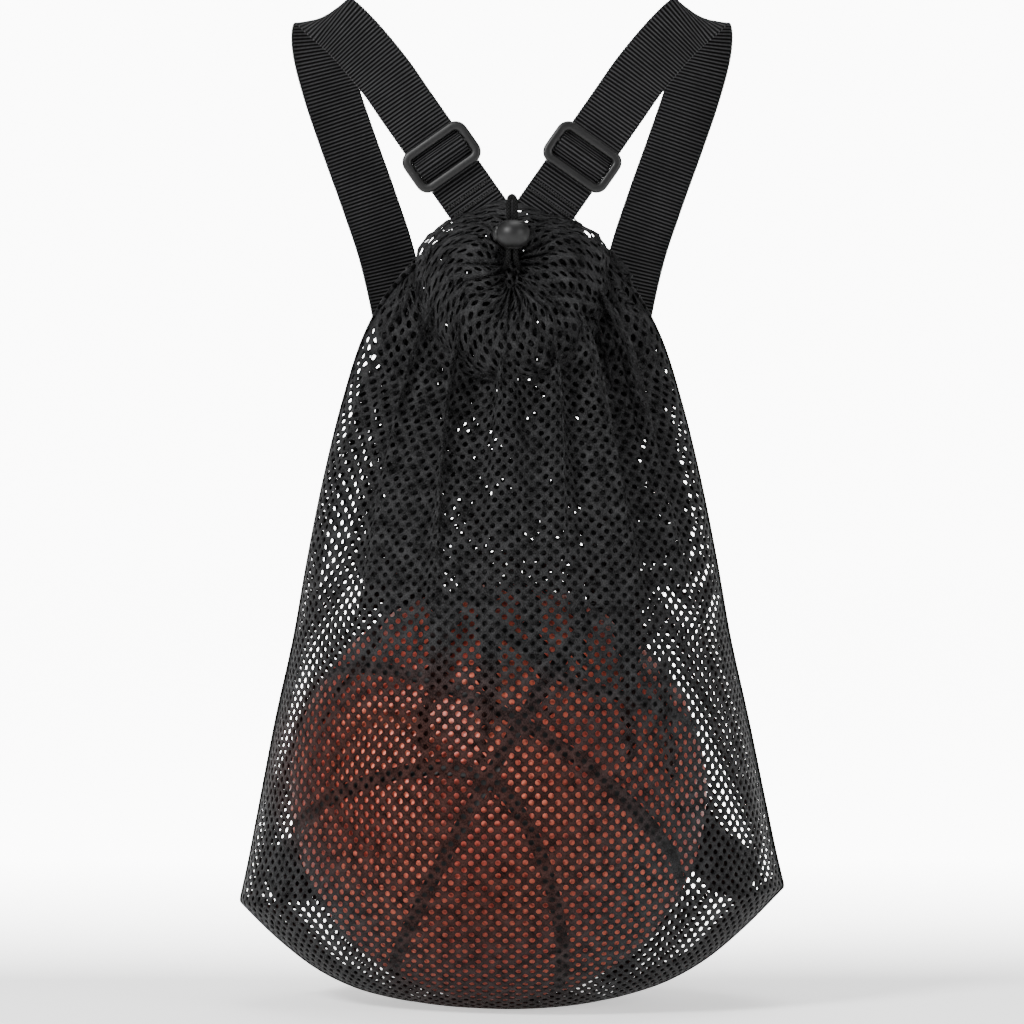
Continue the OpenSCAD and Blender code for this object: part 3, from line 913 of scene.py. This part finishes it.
def make_tacks():
    """Two rows of bar tack on both faces of each strap, at its neck and at its corner."""
    start = strap_axes()[0]
    last, before = np.array(STRAP_ROWS[-1], float), np.array(STRAP_ROWS[-2], float)
    down = unit(last[:3] - before[:3])
    end = unit(last[3:] - (last[3:] @ down) * down)
    spots = (("neck", NECK + RISE * 6, start, RISE), ("corner", last[:3] - down * 6, end, down))
    for word, side in SIDES:
        for place, centre, across, along in spots:
            normal = np.cross(across, along)
            verts, faces = [], []
            for row in (-3, 3):
                for face in (-1, 1):
                    path = zigzag(centre + along * row, across, along, normal * face,
                                  STRAP_W - 6, 2.0, STRAP_T / 2 + 0.12)
                    ahead = tangents(path)
                    u = unit(np.cross(ahead, normal))
                    turn = np.radians(np.arange(0, 360, 60))
                    ring = (path[:, None] + u[:, None] * THREAD_R * np.cos(turn)[None, :, None]
                            + normal * THREAD_R * np.sin(turn)[None, :, None])
                    faces.append(grid_faces(len(path), 6, closed_cols=True) + sum(map(len, verts)))
                    verts.append(ring.reshape(-1, 3))
            verts = np.vstack(verts)
            obj = make_mesh(f"bar_tack_{place}_{word}", mirrored(verts) if side > 0 else verts,
                            np.vstack(faces), THREAD)
            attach(obj, f"strap_{word}")
            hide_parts(f"strap_{place}_stitching_{word}")


make_tacks()


# ---------------------------------------------------------------- cord lock

LOCK_AT = centre_of("cord_lock_barrel")


def turned(name, profile, centre, axis, material):
    """A solid of revolution: profile holds radius and height along axis."""
    sides = 64
    profile = np.asarray(profile, float)
    axis = np.asarray(axis, float)
    u = unit(np.cross(axis, [0.0, 1.0, 0.0]))
    v = np.cross(axis, u)
    turn = np.linspace(0, 2 * math.pi, sides, endpoint=False)
    ring = u[None] * np.cos(turn)[:, None] + v[None] * np.sin(turn)[:, None]
    points = centre + profile[:, None, :1] * ring[None] + profile[:, None, 1:] * axis
    faces = grid_faces(len(profile), sides, closed_cols=True)
    return make_mesh(name, points.reshape(-1, 3), faces, material)


def make_lock():
    """The lock's round barrel, open for the cord above and below, and its domed button."""
    radius, tall, mouth = 9.9, 8.0, 4.6
    angle = np.radians(np.linspace(-62, 62, 60))
    shell = [(radius * math.cos(a) ** 0.92, tall * 1.08 * math.sin(a)) for a in angle]
    rim_r, rim_z = shell[-1]
    lip = [(rim_r - (rim_r - mouth) * t, rim_z + 0.5 * math.sin(math.pi * t))
           for t in (0.3, 0.6, 0.9)]
    bore = [(mouth - 0.1, rim_z - 0.6), (mouth - 0.3, rim_z - 2.5), (mouth - 0.6, rim_z - 5),
            (0.01, rim_z - 5)]
    upper = lip + bore
    lower = [(r, -z) for r, z in upper[::-1]]
    barrel = turned("lock_barrel", lower + shell + upper, LOCK_AT, (0, 0, 1), LOCK)
    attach(barrel, "cord_lock")
    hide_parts("cord_lock_barrel")
    thumb = 4.35
    dome = [(thumb * math.cos(a), 9.4 + 2.2 * math.sin(a))
            for a in np.radians(np.linspace(0, 88, 16))]
    button = turned("lock_button", [(0.01, 4.5), (thumb, 4.5), (thumb, 7)] + dome, LOCK_AT,
                    (-1, 0, 0), LOCK)
    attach(button, "lock_button")
    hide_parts("cord_lock_button")


make_lock()


# ---------------------------------------------------------------- ball

# Directions on the ball: the pole of both ovals, and the front crossing of the two whole circles
POLE = unit(np.array([0.487, 0.402, 0.776]))
CROSSING = unit(np.array([0.105, -0.912, 0.397]))
OVAL_LONG, OVAL_SHORT = 0.949, 0.725
CHANNEL_W, CHANNEL_DEPTH = 7.0, 1.5
VALVE_DEPTH = 2.5


def cube_sphere(n):
    """Unit directions and quads of a cube's faces blown up to a sphere."""
    t = np.tan(np.linspace(-math.pi / 4, math.pi / 4, n))
    a, b = np.meshgrid(t, t, indexing="ij")
    c = np.ones_like(a)
    sides = [(c, a, b), (-c, b, a), (b, c, a), (a, -c, b), (a, b, c), (b, a, -c)]
    points = np.concatenate([np.stack(side, -1).reshape(-1, 3) for side in sides])
    faces = np.concatenate([grid_faces(n, n) + k * n * n for k in range(6)])
    points = unit(points)
    _, first, same = np.unique(np.round(points, 6), axis=0, return_index=True, return_inverse=True)
    return points[first], same.reshape(-1)[faces]


def channel_distance(u):
    """Millimetres from each direction to the middle of the nearest channel."""
    cross = unit(CROSSING - (CROSSING @ POLE) * POLE)
    side = np.cross(POLE, cross)
    circles = [BALL_R * np.arcsin(np.clip(np.abs(u @ n), 0, 1)) for n in (POLE, side)]
    a, b = u @ cross / OVAL_LONG, u @ side / OVAL_SHORT
    e = np.maximum(np.hypot(a, b), 1e-6)
    slope = (np.outer(a / OVAL_LONG / e, cross) + np.outer(b / OVAL_SHORT / e, side))
    slope = slope - (slope * u).sum(1, keepdims=True) * u
    oval = BALL_R * np.abs(e - 1) / np.maximum(np.linalg.norm(slope, axis=1), 0.2)
    return np.minimum(np.minimum(*circles), oval)


def smoothstep(low, high, x):
    t = np.clip((x - low) / (high - low), 0, 1)
    return t * t * (3 - 2 * t)


def make_ball():
    """The ball's cover, sunk in its channels and round its valve."""
    u, faces = cube_sphere(131)
    away = channel_distance(u)
    half = CHANNEL_W / 2
    radius = BALL_R - CHANNEL_DEPTH * (1 - smoothstep(half - 1.0, half + 0.5, away))
    valve = unit(centre_of("ball_valve") - BALL_CENTRE)
    off = BALL_R * np.arccos(np.clip(u @ valve, -1, 1))
    radius = radius - VALVE_DEPTH * (1 - smoothstep(3.6, 5.0, off))
    ball = make_mesh("ball_skin", BALL_CENTRE + u * radius[:, None], faces, LEATHER)
    layer = ball.data.attributes.new("channel", "FLOAT", "POINT")
    layer.data.foreach_set("value", away)
    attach(ball, "ball")
    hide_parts("ball_cover", "ball_channels")


make_ball()


# ---------------------------------------------------------------- CAD nodes that stay

for node, material in (("ball_valve", VALVE), ("ball_bladder", BLADDER),
                       ("cord_lock_spring", STEEL)):
    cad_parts[node].data.materials.clear()
    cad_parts[node].data.materials.append(material)


# ---------------------------------------------------------------- floor and light

# Strength of the world near the horizon and high up, and of the paper's own light everywhere and
# behind the object
SKY_LOW, SKY_HIGH = 0.8, 0.3
PAPER, BACKDROP = 0.8, 9.0
# Each lamp's place, size and power. All of them point at the middle of the bag.
LAMPS = {"key": ((-2.0, -2.0, 2.3), 0.7, 160), "fill": ((2.4, -2.0, 1.4), 1.2, 45),
         "top": ((0.2, 0.4, 2.6), 1.4, 40)}
BAG_MIDDLE = Vector((0, 0, 0.25))


def paper_material():
    """White paper that glows where it stands behind the object, so that the background is white."""
    s = Shader("paper", Base_Color=(0.85, 0.85, 0.85), Roughness=1.0, Specular_IOR_Level=0.0,
               Emission_Color=(1.0, 1.0, 0.995))
    spot = s.node("ShaderNodeSeparateXYZ", {"Vector": s.place()}).outputs
    behind = s.ramp(s.math("ADD", s.math("MULTIPLY", spot["Y"], 0.5), 0.5),
                    (0.56, 0.0), (0.95, 1.0))
    beside = s.ramp(s.math("MULTIPLY", s.math("ABSOLUTE", spot["X"]), 0.2),
                    (0.19, 1.0), (0.30, 0.0))
    low = s.ramp(s.math("MULTIPLY", spot["Z"], 0.5), (0.42, 1.0), (0.7, 0.0))
    glow = s.math("MULTIPLY", s.math("MULTIPLY", behind, beside), s.math("MULTIPLY", low, BACKDROP))
    s.set("Emission Strength", s.math("ADD", glow, PAPER))
    return s.material


def make_studio():
    """The paper, which bends up into a wall far behind the object, a soft sky and three lamps."""
    size, bend, start = 9000, 2500, 5200
    turn = np.linspace(0, math.pi / 2, 40)
    curve = [(-size, 0)] + [(start + bend * math.sin(a), bend * (1 - math.cos(a))) for a in turn]
    curve.append((start + bend, size))
    points = [[x, y, z] for y, z in curve for x in (-size, size)]
    make_mesh("floor", points, grid_faces(len(curve), 2), paper_material())
    world = bpy.data.worlds.new("world")
    bpy.context.scene.world = world
    world.use_nodes = True
    nodes, links = world.node_tree.nodes, world.node_tree.links
    split = nodes.new("ShaderNodeSeparateXYZ")
    links.new(nodes.new("ShaderNodeTexCoord").outputs["Generated"], split.inputs[0])
    sky = nodes.new("ShaderNodeMapRange")
    for socket, value in zip(sky.inputs[1:5], (0.03, 0.5, SKY_LOW, SKY_HIGH)):
        socket.default_value = value
    links.new(split.outputs["Z"], sky.inputs["Value"])
    links.new(sky.outputs["Result"], nodes["Background"].inputs["Strength"])
    nodes["Background"].inputs["Color"].default_value = (1, 1, 1, 1)
    for name, (at, size, power) in LAMPS.items():
        data = bpy.data.lights.new(name, "AREA")
        data.size = size
        data.energy = power
        lamp = bpy.data.objects.new(name, data)
        lamp.location = at
        lamp.rotation_euler = (BAG_MIDDLE - Vector(at)).to_track_quat("-Z", "Y").to_euler()
        bpy.context.scene.collection.objects.link(lamp)


make_studio()
